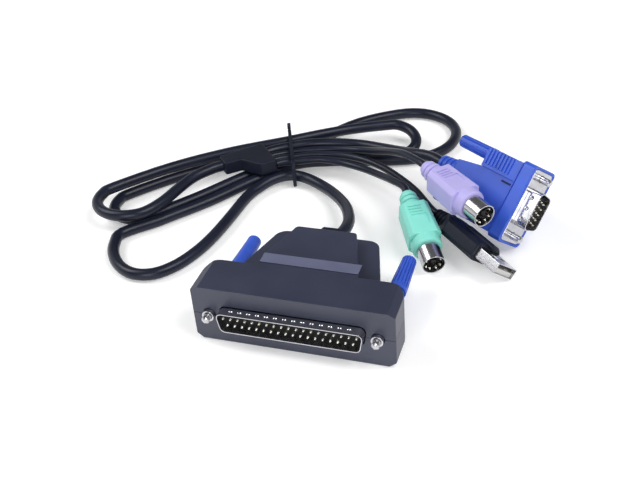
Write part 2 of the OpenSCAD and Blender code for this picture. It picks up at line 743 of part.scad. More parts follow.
// Hank: spine, offsets and height of its one unbroken tube, by loop count t from 0
function spine_heading(a) = hank_heading - a / hank_bend_r * 180 / PI;
function spine_at(a) = hank_tie + hank_bend_r * [sin(hank_heading) - sin(spine_heading(a)),
    cos(spine_heading(a)) - cos(hank_heading)];
function hank_point(a, lat, z) =
    let (h = spine_heading(a), p = spine_at(a) + lat * [-sin(h), cos(h)])
    [p.x, p.y, z];
function ease(s) = let (c = max(0, min(1, s))) c * c * (3 - 2 * c);
function spread(a) = 1 - exp(-pow(a / waist_len, 2));
function turn_k(t) = abs(1 - t / turn_back);
function climb(t) = ease((t - turn_back) * 4 + 1);
function near_lat(a, t) =
    -near_waist - loop_step * turn_k(t) - top_shift * climb(t)
    - spread(a) * ((a < 0 ? near_left : near_right) - near_waist);
function far_lat(a, t) =
    far_waist + loop_step * turn_k(t) + top_shift * climb(t)
    + spread(a) * (a < 0 ? far_left - far_waist
        : far_right - far_waist + (loop_step_right - loop_step) * turn_k(t));
function loop_z(a, t) =
    floor_z + (waist_z - floor_z) * (1 - spread(a)) + layer_z * climb(t);
function left_reach(t) = hank_reach_left - lower_reach_drop * (1 - climb(t));
function right_reach(t) = hank_reach_right - inner_reach_step * (1 - turn_k(t));
function end_radius(left, t) = left
    ? (far_lat(-waist_len * 3, t) - near_lat(-waist_len * 3, t)) / 2
    : (far_lat(waist_len * 3, t) - near_lat(waist_len * 3, t)) / 2;
function run_a(s, a0, a1) = s < 0.5 ? a0 * (1 - 2 * s) : a1 * (2 * s - 1);
function left_start(t) = -left_reach(t) + end_radius(true, t);
function right_start(t) = right_reach(t) - end_radius(false, t);
function loop_point(t) =
    let (part = floor(t * 4) % 4, s = t * 4 - floor(t * 4), t0 = floor(t * 4) / 4, t1 = t0 + 0.25)
    part == 0 ? let (a = run_a(s, left_start(t0), right_start(t1)))
        hank_point(a, near_lat(a, t), loop_z(a, t))
    : part == 2 ? let (a = run_a(s, right_start(t0), left_start(t1)))
        hank_point(a, far_lat(a, t), loop_z(a, t))
    : let (left = part == 3, a = left ? left_start(t) : right_start(t), r = end_radius(left, t),
        mid = (near_lat(a, t) + far_lat(a, t)) / 2, out = left ? -1 : 1)
        hank_point(a + out * r * sin(180 * s), mid - out * r * cos(180 * s), loop_z(a, t));
function last_point(s) =
    let (t = whole_loops, start = left_start(t), a = start + (end_a - cable_d - start) * s, lean = ease(s))
    hank_point(a, (1 - lean) * near_lat(a, t) + lean * end_lean, loop_z(a, t) * (1 - lean) + splitter_z * lean);
last_rings = 4;
hank_path = concat([for (i = [0:whole_loops * loop_rings]) loop_point(i / loop_rings)],
    [for (i = [1:last_rings]) last_point(i / last_rings)], [hank_point(end_a, end_lean, splitter_z)]);
hank_rings = len(hank_path) - 1;
function sumlen(path, i) = i == 0 ? 0 : norm(path[i] - path[i - 1]) + sumlen(path, i - 1);
hank_length = sumlen(hank_path, hank_rings);

// Least gap between two stretches of the hank's own tube, measured on points along its chords
check_steps = 5;
check_points = [for (i = [0:hank_rings - 1]) for (j = [0:check_steps - 1])
    hank_path[i] + (hank_path[i + 1] - hank_path[i]) * j / check_steps];
check_apart = 6 * check_steps;
hank_gap = min([for (i = [0:len(check_points) - 1 - check_apart])
    min([for (j = [i + check_apart:len(check_points) - 1]) norm(check_points[i] - check_points[j])])]) - cable_d;
echo(hank_least_gap = hank_gap, hank_length = hank_length);

module cable_hank() {
    color([0.09, 0.1, 0.16]) tube(hank_path, cable_r, loop_sides);
}
module main_lead() {
    join = hank_path[0];
    way = unit(hank_path[1] - hank_path[0]);
    color([0.09, 0.1, 0.16]) tube(smooth(concat([[exit_x, exit_y, seam_z]], lead_route,
        [join - way * cable_d, join]), 1), cable_r, 10);
}
module twist_tie() {
    high = waist_z + layer_z + cable_r + gap;
    color([0.05, 0.05, 0.06]) translate([hank_tie.x, hank_tie.y, 0]) rotate([0, 0, tie_heading]) {
        difference() {
            rotate([90, 0, 90]) linear_extrude(tie_w) polygon(rounded([[tie_near - tie_t, 0],
                [tie_far + tie_t, 0], [tie_far + tie_t, high + tie_t], [tie_near - tie_t, high + tie_t]],
                [cable_r, cable_r, cable_r, cable_d]));
            translate([-over, 0, 0]) rotate([90, 0, 90]) linear_extrude(tie_w + 2 * over)
                polygon(rounded([[tie_near, tie_t], [tie_far, tie_t], [tie_far, high], [tie_near, high]],
                    [cable_r - tie_t, cable_r - tie_t, cable_r - tie_t, cable_d - tie_t]));
        }
        translate([tie_w / 2, tie_far + tie_t / 2, high + tie_t / 2]) rotate([-45, 0, 0])
            cylinder(h = tie_nub_len, d = tie_nub_d, $fn = 16);
    }
}

// Splitter and the tails that leave it
splitter_turn = spine_heading(splitter_a);
function splitter_point(x, lat, dz) =
    let (c = spine_at(splitter_a), h = splitter_turn)
    [c.x + x * cos(h) - lat * sin(h), c.y + x * sin(h) + lat * cos(h), splitter_z + dz];
module cable_splitter() {
    c = spine_at(splitter_a);
    color([0.06, 0.06, 0.08]) translate([c.x, c.y, splitter_z - splitter_h / 2])
        rotate([0, 0, splitter_turn]) intersection() {
            linear_extrude(splitter_h) polygon(rounded(
                [[fit, end_lean - splitter_back_w / 2], [splitter_len * splitter_flare_shares[0], end_lean - splitter_back_w / 2],
                    [splitter_len * splitter_flare_shares[1], splitter_mid_lat - splitter_front_w / 2],
                    [splitter_len, splitter_mid_lat - splitter_front_w / 2],
                    [splitter_len, splitter_mid_lat + splitter_front_w / 2],
                    [fit, end_lean + splitter_back_w / 2]],
                [splitter_edge, splitter_edge, splitter_edge, splitter_edge, splitter_edge, splitter_edge]));
            rotate([90, 0, 90]) linear_extrude(splitter_len) translate([splitter_mid_lat, splitter_h / 2])
                polygon(chamfer_points(splitter_front_w + 2 * splitter_edge, splitter_h, splitter_edge));
        }
}
function behind(at, turn, length) =
    at + length * [-cos(turn.x) * sin(turn.z), cos(turn.x) * cos(turn.z), sin(turn.x)];
module tail(k, d, route, at, turn, length, sides) {
    start = splitter_point(splitter_len, exit_lats[k], 0);
    after = splitter_point(splitter_len + d, exit_lats[k], 0);
    stop = behind(at, turn, length);
    before = behind(at, turn, length + 1.5 * d);
    color([0.09, 0.1, 0.16]) tube(smooth(concat([start, after], route, [before, stop]), 1), d / 2, sides);
}
module vga_tail() { tail(0, cable_d, vga_route, vga_at, vga_turn, vga_len, 10); }
module keyboard_tail() { tail(1, tail_d, keyboard_route, keyboard_at, keyboard_turn, round_len, 8); }
module usb_tail() { tail(2, tail_d, usb_route, usb_at, usb_turn, flat_len_all, 8); }
module mouse_tail() { tail(3, tail_d, mouse_route, mouse_at, mouse_turn, round_len, 8); }

// Ribbed tail of a plug, drawn along +Y
module ribbed_tail(d0, d1, y0, length, ribs, cut) {
    difference() {
        cone_y(d0, d1, y0, length);
        for (i = [1:ribs]) difference() {
            rod_y(d0 + over, y0 + length * i / (ribs + 1), length / (ribs + 1) / 3);
            rod_y(width_at(i, 0, d0, ribs + 1, d1) - 2 * cut, y0, length);
        }
    }
}

// Small screw plug, drawn with its face to -Y and then laid on the table
module at_vga() { laid(vga_at, vga_turn) children(); }
module vga_screw_line() { both_sides(vga_screw_span / 2) children(); }
module vga_hood() {
    color([0.14, 0.27, 0.82]) at_vga() difference() {
        union() {
            push_y(0, vga_plate_t) polygon(box_points(vga_plate_w, vga_plate_h, vga_corner_r));
            for (side = [0, 1]) mirror([side, 0, 0]) translate([vga_grip_in, vga_plate_t - fit, -vga_grip_h / 2])
                cube([vga_plate_w / 2 - vga_grip_in - vga_grip_side, vga_grip_len, vga_grip_h]);
            intersection() {
                translate([0, 0, -vga_plate_h / 2]) linear_extrude(vga_plate_h) polygon(taper_plan(
                    vga_plate_t - fit, vga_body_front_w + 2 * vga_grip_cut, vga_body_len, vga_body_rear_w, 0));
                translate([-vga_plate_w / 2, 0, 0]) rotate([90, 0, 90]) linear_extrude(vga_plate_w)
                    polygon([[0, -vga_body_front_h / 2], [vga_body_len, -vga_body_rear_h / 2],
                        [vga_body_len, vga_body_rear_h / 2], [0, vga_body_front_h / 2]]);
            }
            ribbed_tail(vga_relief_d, vga_relief_tip_d, vga_body_len - fit, vga_relief_len + fit,
                vga_relief_ribs, vga_relief_cut);
        }
        push_y(-over, flange_t + over) polygon(box_points(vga_flange_w + 2 * loose, vga_flange_h + 2 * loose,
            flange_corner_r));
        push_y(0, flange_t + vga_block_len + fit) polygon(box_points(vga_block_w + 2 * fit,
            vga_block_h + 2 * fit, rim_t));
        for (i = [1:vga_grip_ribs]) for (side = [0, 1]) mirror([side, 0, 0])
            translate([vga_plate_w / 2 - vga_grip_side - vga_grip_cut,
                vga_plate_t + vga_grip_len - vga_rib_zone * (i - 0.4) / vga_grip_ribs, -vga_plate_h])
                cube([vga_plate_w, vga_rib_zone / vga_grip_ribs / 2, 2 * vga_plate_h]);
        vga_screw_line() {
            rod_y(screw_bore_d, 0, vga_clip_y);
            rod_y(shank_bore_d, 0, vga_plate_t + vga_grip_len + over);
            rod_y(clip_d + 2 * gap, vga_clip_y - gap, clip_t + vga_screw_back + 2 * gap);
        }
    }
}
module vga_flange() {
    color([0.8, 0.8, 0.82]) at_vga() difference() {
        union() {
            push_y(0, flange_t) polygon(box_points(vga_flange_w, vga_flange_h, flange_corner_r));
            push_y(-rim_len, rim_len + flange_t / 2) polygon(rim_points(vga_rim_w, vga_rim_h, 0));
        }
        push_y(-rim_len - over, rim_len + flange_t + 2 * over) polygon(rim_points(vga_rim_w, vga_rim_h, -rim_t));
        vga_screw_line() rod_y(flange_hole_d, -over, flange_t + 2 * over);
    }
}
function vga_pin_places() = [for (row = [-1:1]) for (i = [-2:2])
    [(i + row / 4) * vga_pin_pitch, row * vga_row_pitch]];
module vga_insulator() {
    color([0.05, 0.05, 0.06]) at_vga() difference() {
        union() {
            push_y(insulator_recess - rim_len, rim_len - insulator_recess + flange_t + over)
                polygon(rim_points(vga_rim_w, vga_rim_h, -rim_t - fit));
            push_y(flange_t + fit, vga_block_len - fit) polygon(box_points(vga_block_w, vga_block_h, rim_t));
        }
        for (p = vga_pin_places()) translate([p[0], 0, p[1]])
            rod_y(vga_pin_d + 2 * fit, -rim_len, rim_len + flange_t + vga_block_len + over);
    }
}
module vga_pins() {
    color([0.85, 0.85, 0.86]) at_vga() for (p = vga_pin_places()) translate([p[0], 0, p[1]])
        contact(vga_pin_d, pin_tip_recess - rim_len, flange_t + vga_block_len - fit);
}
module vga_screw(side) {
    color([0.75, 0.75, 0.77]) at_vga() translate([side * vga_screw_span / 2, 0, 0])
        hand_screw(-vga_screw_stand, -fit, vga_clip_y, vga_plate_t + vga_grip_len + gap + knob_hold_len);
}
module vga_knob(side) {
    color([0.13, 0.27, 0.85]) at_vga() translate([side * vga_screw_span / 2, 0, 0])
        knob(vga_plate_t + vga_grip_len + gap, vga_knob_len, vga_knob_d, vga_knob_d * vga_knob_tip_share, knob_dome / 2,
            knob_hold_len);
}
module vga_clip(side) {
    color([0.6, 0.6, 0.62]) at_vga() translate([side * vga_screw_span / 2, 0, 0])
        clip_ring(vga_clip_y, clip_d);
}
module vga_upper_screw() { vga_screw(1); }
module vga_lower_screw() { vga_screw(-1); }
module vga_upper_knob() { vga_knob(1); }
module vga_lower_knob() { vga_knob(-1); }
module vga_upper_clip() { vga_clip(1); }
module vga_lower_clip() { vga_clip(-1); }

// Round plugs, drawn with the sleeve's rim at y = 0
module grip_marks(z, y0) {
    for (i = [0:3]) translate([-mark_len / 2, y0 + i * mark_pitch, z - mark_t])
        cube([mark_len, mark_w, 2 * mark_t]);
}
module round_grip() {
    block_y = sleeve_len + collar_len;
    difference() {
        union() {
            rod_y(collar_d, sleeve_len, collar_len + fit);
            intersection() {
                push_y(block_y, grip_len) polygon(chamfer_points(grip_w, grip_h, grip_chamfer));
                translate([0, 0, -grip_h]) linear_extrude(2 * grip_h) polygon(taper_plan(block_y, grip_w,
                    block_y + grip_len, grip_w * grip_rear_share, 0));
                translate([-grip_w, 0, 0]) rotate([90, 0, 90]) linear_extrude(2 * grip_w)
                    polygon([[block_y, -grip_h / 2], [block_y + grip_len, -grip_h / 2 * grip_rear_share],
                        [block_y + grip_len, grip_h / 2 * grip_rear_share], [block_y, grip_h / 2]]);
            }
            ribbed_tail(relief_d, relief_d * relief_tip_share, block_y + grip_len - fit, relief_len + fit,
                relief_ribs, relief_cut);
        }
        rod_y(sleeve_d - sleeve_step + 2 * fit, sleeve_len - over, sleeve_hold + over);
    }
}
module round_sleeve() {
    difference() {
        union() {
            rod_y(sleeve_d, 0, sleeve_len - fit);
            rod_y(sleeve_d - sleeve_step, 0, sleeve_len + sleeve_hold - fit);
        }
        rod_y(sleeve_d - 2 * sleeve_t - sleeve_step, -over, sleeve_len + sleeve_hold + 2 * over);
        rod_y(sleeve_d - 2 * sleeve_t, -over, sleeve_len - sleeve_t + over);
    }
}
function round_pin_places() = [for (t = round_pin_angles) round_pin_ring_d / 2 * [cos(t), sin(t)]];
module round_insulator() {
    difference() {
        union() {
            rod_y(sleeve_d - 2 * sleeve_t - 2 * fit, round_disc_y, sleeve_len - sleeve_t - round_disc_y - fit);
            push_y(pin_tip_recess, round_disc_y) translate([0, round_key_h])
                square([round_key_w, round_key_h], center = true);
        }
        for (p = round_pin_places()) translate([p[0], 0, p[1]])
            rod_y(round_pin_d + 2 * fit, round_disc_y - over, sleeve_len + 2 * over);
    }
}
module round_pins() {
    for (p = round_pin_places()) translate([p[0], 0, p[1]])
        contact(round_pin_d, pin_tip_recess, sleeve_len - sleeve_t - fit);
}
module at_keyboard() { laid(keyboard_at, keyboard_turn) children(); }
module at_mouse() { laid(mouse_at, mouse_turn) children(); }
module keyboard_plug_grip() { color([0.68, 0.64, 0.95]) at_keyboard() round_grip(); }
module keyboard_plug_sleeve() { color([0.8, 0.8, 0.82]) at_keyboard() round_sleeve(); }
module keyboard_plug_insulator() { color([0.05, 0.05, 0.06]) at_keyboard() round_insulator(); }
module keyboard_plug_pins() { color([0.85, 0.8, 0.6]) at_keyboard() round_pins(); }
module mouse_plug_grip() { color([0.5, 0.9, 0.78]) at_mouse() round_grip(); }
module mouse_plug_sleeve() { color([0.8, 0.8, 0.82]) at_mouse() round_sleeve(); }
module mouse_plug_insulator() { color([0.05, 0.05, 0.06]) at_mouse() round_insulator(); }
module mouse_plug_pins() { color([0.85, 0.8, 0.6]) at_mouse() round_pins(); }

// Flat plug, drawn with the shell's end at y = 0
module at_usb() { laid(usb_at, usb_turn) children(); }
module usb_plug_grip() {
    block_end = flat_len + flat_grip_len;
    color([0.09, 0.1, 0.15]) at_usb() difference() {
        union() {
            intersection() {
                push_y(flat_len, flat_grip_len)
                    polygon(chamfer_points(flat_grip_w, flat_grip_h, flat_grip_chamfer));
                translate([0, 0, -flat_grip_h]) linear_extrude(2 * flat_grip_h)
                    polygon([[-flat_grip_w / 2, flat_len], [flat_grip_w / 2, flat_len],
                        [flat_grip_w / 2, block_end - flat_shoulder_len], [flat_neck_w / 2, block_end],
                        [-flat_neck_w / 2, block_end], [-flat_grip_w / 2, block_end - flat_shoulder_len]]);
            }
            ribbed_tail(flat_neck_w - fit, flat_relief_tip_d, block_end - fit, flat_relief_len + fit,
                relief_ribs, relief_cut);
        }
        push_y(flat_len - over, flat_hold + over) polygon(box_points(flat_w + 2 * fit, flat_h + 2 * fit, flat_t));
    }
}
module usb_plug_shell() {
    color([0.75, 0.75, 0.77]) at_usb() difference() {
        push_y(0, flat_len + flat_hold - fit) polygon(box_points(flat_w, flat_h, flat_t));
        push_y(-over, flat_len + flat_hold + 2 * over)
            polygon(box_points(flat_w - 2 * flat_t, flat_h - 2 * flat_t, flat_t / 2));
        both_sides(flat_window_x) translate([-flat_window / 2, flat_window_y, -flat_h])
            cube([flat_window, flat_window, 2 * flat_h]);
    }
}
module usb_plug_tongue() {
    color([0.9, 0.9, 0.9]) at_usb() translate([0, 0, -flat_h / 2 + flat_t + fit + tongue_h / 2])
        push_y(pin_tip_recess, flat_len + flat_hold - pin_tip_recess - fit)
            square([flat_w - 2 * flat_t - 2 * tongue_t_gap, tongue_h], center = true);
}
module usb_plug_contacts() {
    top = -flat_h / 2 + flat_t + fit + tongue_h;
    color([0.85, 0.75, 0.4]) at_usb() for (i = [-1.5:1.5])
        translate([i * contact_pitch - contact_w / 2, 2 * pin_tip_recess, top])
            cube([contact_w, contact_len, contact_t]);
}

top_shell();
bottom_shell();
label_strip();
connector_flange();
connector_back_shell();
connector_insulator();
connector_pins();
screw_ferrules();
left_jackscrew();
right_jackscrew();
left_knob();
right_knob();
left_screw_clip();
right_screw_clip();
cable_grommet();
cable_clamp();
clamp_screws();
case_screws();
cable_inner_end();
conductors();
main_lead();
cable_hank();
twist_tie();
cable_splitter();
vga_tail();
keyboard_tail();
mouse_tail();
usb_tail();
vga_hood();
vga_flange();
vga_insulator();
vga_pins();
vga_upper_screw();
vga_lower_screw();
vga_upper_knob();
vga_lower_knob();
vga_upper_clip();
vga_lower_clip();
keyboard_plug_grip();
keyboard_plug_sleeve();
keyboard_plug_insulator();
keyboard_plug_pins();
mouse_plug_grip();
mouse_plug_sleeve();
mouse_plug_insulator();
mouse_plug_pins();
usb_plug_grip();
usb_plug_shell();
usb_plug_tongue();
usb_plug_contacts();
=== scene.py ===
import math
import bpy
from mathutils import Matrix, Vector


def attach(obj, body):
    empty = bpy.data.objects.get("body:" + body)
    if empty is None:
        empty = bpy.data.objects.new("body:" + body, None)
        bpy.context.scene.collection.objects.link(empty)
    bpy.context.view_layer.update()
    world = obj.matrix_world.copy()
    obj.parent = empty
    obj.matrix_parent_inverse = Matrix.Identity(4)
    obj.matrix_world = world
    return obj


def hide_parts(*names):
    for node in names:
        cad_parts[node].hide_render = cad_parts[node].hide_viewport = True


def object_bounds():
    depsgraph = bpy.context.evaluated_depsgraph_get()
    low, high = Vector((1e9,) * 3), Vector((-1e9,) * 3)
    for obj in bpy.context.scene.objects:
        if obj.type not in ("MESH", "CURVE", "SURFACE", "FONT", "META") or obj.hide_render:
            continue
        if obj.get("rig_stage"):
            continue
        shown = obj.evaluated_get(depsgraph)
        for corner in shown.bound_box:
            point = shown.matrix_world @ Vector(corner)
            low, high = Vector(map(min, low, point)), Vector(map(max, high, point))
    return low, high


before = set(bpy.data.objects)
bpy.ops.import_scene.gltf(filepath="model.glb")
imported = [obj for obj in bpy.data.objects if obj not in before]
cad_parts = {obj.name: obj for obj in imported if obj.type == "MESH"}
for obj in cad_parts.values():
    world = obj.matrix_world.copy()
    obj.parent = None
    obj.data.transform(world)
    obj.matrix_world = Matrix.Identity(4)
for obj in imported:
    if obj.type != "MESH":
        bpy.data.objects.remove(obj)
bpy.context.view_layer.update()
ROOT = "module_and_cable"

# The camera
# It stands where the photographer stood: to the right of the module's face and well above it,
# with a slight roll.
turn, rise, roll = math.radians(20.18), math.radians(34.80), math.radians(4.73)
lens_px, reach_mm, off_x, off_y = 1000.0, 352.83, 288.33, 332.08
photo_w, photo_h, sensor_mm = 640, 480, 36
back = Vector((math.sin(turn) * math.cos(rise), -math.cos(turn) * math.cos(rise), math.sin(rise)))
right = Vector((math.cos(turn), math.sin(turn), 0))
up = back.cross(right)
view_right = math.cos(roll) * right - math.sin(roll) * up
view_up = math.sin(roll) * right + math.cos(roll) * up
aim_point = Vector((0, -12.49, 12.2))
eye = aim_point - ((off_x - photo_w / 2) / lens_px * reach_mm * view_right
                   - (off_y - photo_h / 2) / lens_px * reach_mm * view_up - reach_mm * back)
camera_data = bpy.data.cameras.new("camera")
camera = bpy.data.objects.new("camera", camera_data)
bpy.context.collection.objects.link(camera)
camera_data.sensor_width = sensor_mm
camera_data.lens = sensor_mm * lens_px / photo_w
camera_data.clip_start, camera_data.clip_end = 0.01, 20
camera.matrix_world = Matrix((
    (view_right.x, view_up.x, back.x, eye.x / 1000),
    (view_right.y, view_up.y, back.y, eye.y / 1000),
    (view_right.z, view_up.z, back.z, eye.z / 1000),
    (0, 0, 0, 1)))
bpy.context.scene.camera = camera
bpy.context.scene.view_settings.view_transform = "Standard"

# The table, the pale background and the lights
# A plain pale floor carries the object's shadow. Lamps and sky are soft, large and white,
# as in a product picture on paper.
class Val:
    """A socket that takes part in arithmetic; each operation adds its Math node."""

    def __init__(self, owner, socket):
        self.owner, self.socket = owner, socket

    def _math(self, kind, *values):
        return self.owner.node("ShaderNodeMath", {"operation": kind}, *values)

    def __add__(self, o): return self._math("ADD", self, o)
    def __radd__(self, o): return self._math("ADD", o, self)
    def __sub__(self, o): return self._math("SUBTRACT", self, o)
    def __rsub__(self, o): return self._math("SUBTRACT", o, self)
    def __mul__(self, o): return self._math("MULTIPLY", self, o)
    def __rmul__(self, o): return self._math("MULTIPLY", o, self)


class Shader:
    """A node tree that is added to one call at a time, and the node at its end."""

    def __init__(self, owner, end):
        owner.use_nodes = True
        self.tree = owner.node_tree
        self.end = self.tree.nodes[end]

    def node(self, kind, settings, *values, out=0, **named):
        made = self.tree.nodes.new(kind)
        for key, value in settings.items():
            setattr(made, key, value)
        for key, value in list(enumerate(values)) + list(named.items()):
            socket = made.inputs[key if isinstance(key, int) else key.replace("_", " ")]
            if isinstance(value, Val):
                self.tree.links.new(value.socket, socket)
            elif value is not None:
                socket.default_value = value
        return Val(self, made.outputs[out])

    def span(self, value, low, high, to_low, to_high):
        return self.node("ShaderNodeMapRange", {}, value, low, high, to_low, to_high)

    def feed(self, name, value):
        self.tree.links.new(value.socket, self.end.inputs[name])


class Finish(Shader):
    """A material of one colour, with what is needed to lay a pattern over it."""

    def __init__(self, name, rgb, rough, metal=0.0, spec=0.5):
        self.material = bpy.data.materials.new(name)
        super().__init__(self.material, "Principled BSDF")
        self.rgb, self.rough = rgb, rough
        self.end.inputs["Base Color"].default_value = (*rgb, 1)
        self.end.inputs["Roughness"].default_value = rough
        self.end.inputs["Metallic"].default_value = metal
        self.end.inputs["Specular IOR Level"].default_value = spec
        self.material.diffuse_color = (*rgb, 1)

    def grain(self, size_mm, detail):
        where = self.node("ShaderNodeTexCoord", {}, out="Object")
        scaled = self.node("ShaderNodeMapping", {}, where, Scale=(1000.0 / size_mm,) * 3)
        return self.node("ShaderNodeTexNoise", {}, scaled, None, 1.0, detail)

    def blend(self, amount, a, b):
        return self.node("ShaderNodeMix", {"data_type": "RGBA"}, amount, None, None, None, None, None,
                         a, b, out=2)

    def bump(self, height, depth_mm):
        dent = self.node("ShaderNodeBump", {}, Height=height, Distance=depth_mm / 1000, Strength=1.0)
        self.feed("Normal", dent)


bpy.ops.object.select_all(action="DESELECT")
bpy.ops.mesh.primitive_plane_add(size=6, location=(0, 0, -0.0002))
floor = bpy.context.active_object
floor.name = "table"
floor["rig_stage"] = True
paper = Finish("pale_table", (0.84, 0.84, 0.84), 0.8, spec=0.1)
paper.end.inputs["Emission Strength"].default_value = 1.0
on_floor = paper.node("ShaderNodeTexCoord", {}, out="Object")
away = paper.node("ShaderNodeVectorMath", {"operation": "LENGTH"}, on_floor, out="Value")
by_eye, by_gloss, by_glass = (paper.node("ShaderNodeLightPath", {}, out="Is %s Ray" % kind)
                              for kind in ("Camera", "Glossy", "Transmission"))
direct = paper.node("ShaderNodeMath", {"operation": "MAXIMUM"}, by_eye, by_gloss)
seen = paper.node("ShaderNodeMath", {"operation": "MAXIMUM"}, direct, by_glass)
paper.feed("Emission Color", paper.span(away, 0.4, 1.6, 0.3, 0.8) * seen)
floor.data.materials.append(paper.material)

world = bpy.data.worlds.new("soft_room")
bpy.context.scene.world = world
room = Shader(world, "Background")
room.end.inputs["Color"].default_value = (1, 1, 1, 1)
way_up = room.node("ShaderNodeSeparateXYZ", {}, room.node("ShaderNodeTexCoord", {}, out="Generated"), out="Z")
room.feed("Strength", room.span(way_up, 0.1, 0.45, 0.9, 0.14))


def soft_lamp(name, place, aim, size, power):
    bpy.ops.object.light_add(type="AREA", location=place)
    lamp = bpy.context.active_object
    lamp.name = name
    lamp.data.shape = "DISK"
    lamp.data.size = size
    lamp.data.energy = power
    lamp.rotation_euler = (Vector(aim) - Vector(place)).to_track_quat("-Z", "Y").to_euler()


soft_lamp("key_lamp", (0.55, -0.05, 0.8), (0, 0.06, 0), 0.6, 5.5)
soft_lamp("left_lamp", (-0.65, 0.0, 0.7), (0, 0.06, 0), 0.6, 4.5)
soft_lamp("front_lamp", (0.1, -0.9, 0.45), (0, 0, 0.01), 0.6, 4.0)


# The cable's jacket
# Round cable and tails have one smooth dark navy jacket, drawn through a die: a faint sheen,
# a fine grain and a few dull rubbed places.
NOISE_BAND = (0.3, 0.7)


def wear_and_reflection(finish, spot_mm, grain_mm, light, rough_span, depth_mm):
    """Fine grain in the surface, with colour and gloss that drift slowly over it. Where the drift darkens a
    metal, as on the nickel, the darker blotches are painted reflection.
    """
    drift, fine = finish.grain(spot_mm, 3.0), finish.grain(grain_mm, 2.0)
    paler = tuple(min(1.0, c * light + 0.002) for c in finish.rgb) + (1,)
    shade = finish.span(drift, *NOISE_BAND, 0.0, 1.0)
    finish.feed("Base Color", finish.blend(shade, (*finish.rgb, 1), paler))
    finish.feed("Roughness", finish.span(fine + (drift - fine) * 0.6, *NOISE_BAND,
                                         finish.rough - rough_span, finish.rough + rough_span))
    finish.bump(fine, depth_mm)
    return finish.material


JACKET = wear_and_reflection(Finish("cable_jacket", (0.006, 0.008, 0.019), 0.34, spec=0.3), 14, 0.5, 1.5, 0.06, 0.015)


def curve_at(a, b, c, d, t):
    return 0.5 * (2 * b + (c - a) * t + (2 * a - 5 * b + 4 * c - d) * t * t
                  + (3 * b - a - 3 * c + d) * t * t * t)


def smooth(points, steps=4):
    pts = [Vector(p) for p in points]
    pts = [2 * pts[0] - pts[1]] + pts + [2 * pts[-1] - pts[-2]]
    made = [curve_at(*pts[i:i + 4], j / steps) for i in range(len(pts) - 3) for j in range(steps)]
    return made + [pts[-2]]


def cable(name, points_mm, diameter_mm):
    """A round cable through these points, and its length in metres."""
    path = smooth(points_mm)
    data = bpy.data.curves.new(name, "CURVE")
    data.dimensions = "3D"
    data.bevel_depth = diameter_mm / 2000
    data.bevel_resolution = 5
    data.use_fill_caps = True
    line = data.splines.new("POLY")
    line.points.add(len(path) - 1)
    for point, place in zip(line.points, path):
        point.co, point.radius = (*(place / 1000), 1), 1
    line.use_smooth = True
    made = bpy.data.objects.new(name, data)
    bpy.context.collection.objects.link(made)
    data.materials.append(JACKET)
    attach(made, ROOT)
    return made, sum((b - a).length for a, b in zip(path, path[1:])) / 1000


# The long cable, from the module to the splitter
# One length of five millimetre round cable leaves the housing, sweeps round to the left and is
# wound twice into a flat hank, which a tie holds at its waist. Its points repeat the source's.
EXIT = Vector((1, 46, 12))
LEAD = [(1, 50, 12), (1.4, 56, 11.4), (0.2, 63.6, 10.2), (-4.4, 75, 8), (-11.6, 85.6, 5.8),
        (-20.6, 94.6, 4.2), (-30.6, 100.2, 4.2), (-38.6, 101.5, 4.1), (-45.2, 97.1, 4), (-49.8, 90.6, 3.2),
        (-53, 81.9, 2.6), (-54.4, 64.5, 2.6), (-56, 49.9, 2.6), (-58.6, 38.3, 2.6), (-63, 27.8, 2.6),
        (-69.6, 20.4, 2.6), (-78, 18.6, 2.6), (-86, 22.2, 2.6), (-92.4, 29.2, 2.6), (-95.8, 37, 2.6),
        (-96, 44.2, 2.6)]
TIE, SPINE_R, TIE_TURN = Vector((-45, 119)), 250.0, math.radians(34)
CABLE_D, FLOOR_Z, WAIST_Z, LAYER_Z = 5.0, 2.6, 3.9, 5.5
WHOLE_LOOPS, LOOP_RINGS, LAST_RINGS = 2, 24, 4
WAIST_LEN, TURN_BACK, LOOP_STEP, LOOP_STEP_RIGHT, TOP_SHIFT = 30.0, 1.5, 9.2, 37, 4
NEAR_WAIST, NEAR_LEFT, NEAR_RIGHT = 0.75, 10.6, 10.0
FAR_WAIST, FAR_LEFT, FAR_RIGHT = -1, 4.6, 3
REACH_LEFT, LOWER_DROP, REACH_RIGHT, INNER_STEP = 94, 7, 88, 30
END_A, END_LEAN = -34.0, -4.0


def heading(a):
    return TIE_TURN - a / SPINE_R


def spine(a):
    """The bent line that the hank follows, a millimetres to the right of its tie."""
    h = heading(a)
    return TIE + SPINE_R * Vector((math.sin(TIE_TURN) - math.sin(h), math.cos(h) - math.cos(TIE_TURN)))


def hank_point(a, lat, z):
    h, p = heading(a), spine(a)
    return Vector((p.x - lat * math.sin(h), p.y + lat * math.cos(h), z))


def ease(s):
    c = max(0.0, min(1.0, s))
    return c * c * (3 - 2 * c)


def spread(a):
    return 1 - math.exp(-(a / WAIST_LEN) ** 2)


def turn_k(t):
    """From 1 on the outer loop to 0 where the winding turns back, t being counted in loops."""
    return abs(1 - t / TURN_BACK)


def climb(t):
    return ease((t - TURN_BACK) * 4 + 1)


def near_lat(a, t):
    fan = (NEAR_LEFT if a < 0 else NEAR_RIGHT) - NEAR_WAIST
    return -NEAR_WAIST - LOOP_STEP * turn_k(t) - TOP_SHIFT * climb(t) - spread(a) * fan


def far_lat(a, t):
    fan = FAR_LEFT - FAR_WAIST if a < 0 else FAR_RIGHT - FAR_WAIST + (LOOP_STEP_RIGHT - LOOP_STEP) * turn_k(t)
    return FAR_WAIST + LOOP_STEP * turn_k(t) + TOP_SHIFT * climb(t) + spread(a) * fan


def loop_z(a, t):
    return FLOOR_Z + (WAIST_Z - FLOOR_Z) * (1 - spread(a)) + LAYER_Z * climb(t)


def end_radius(left, t):
    a = -WAIST_LEN * 3 if left else WAIST_LEN * 3
    return (far_lat(a, t) - near_lat(a, t)) / 2


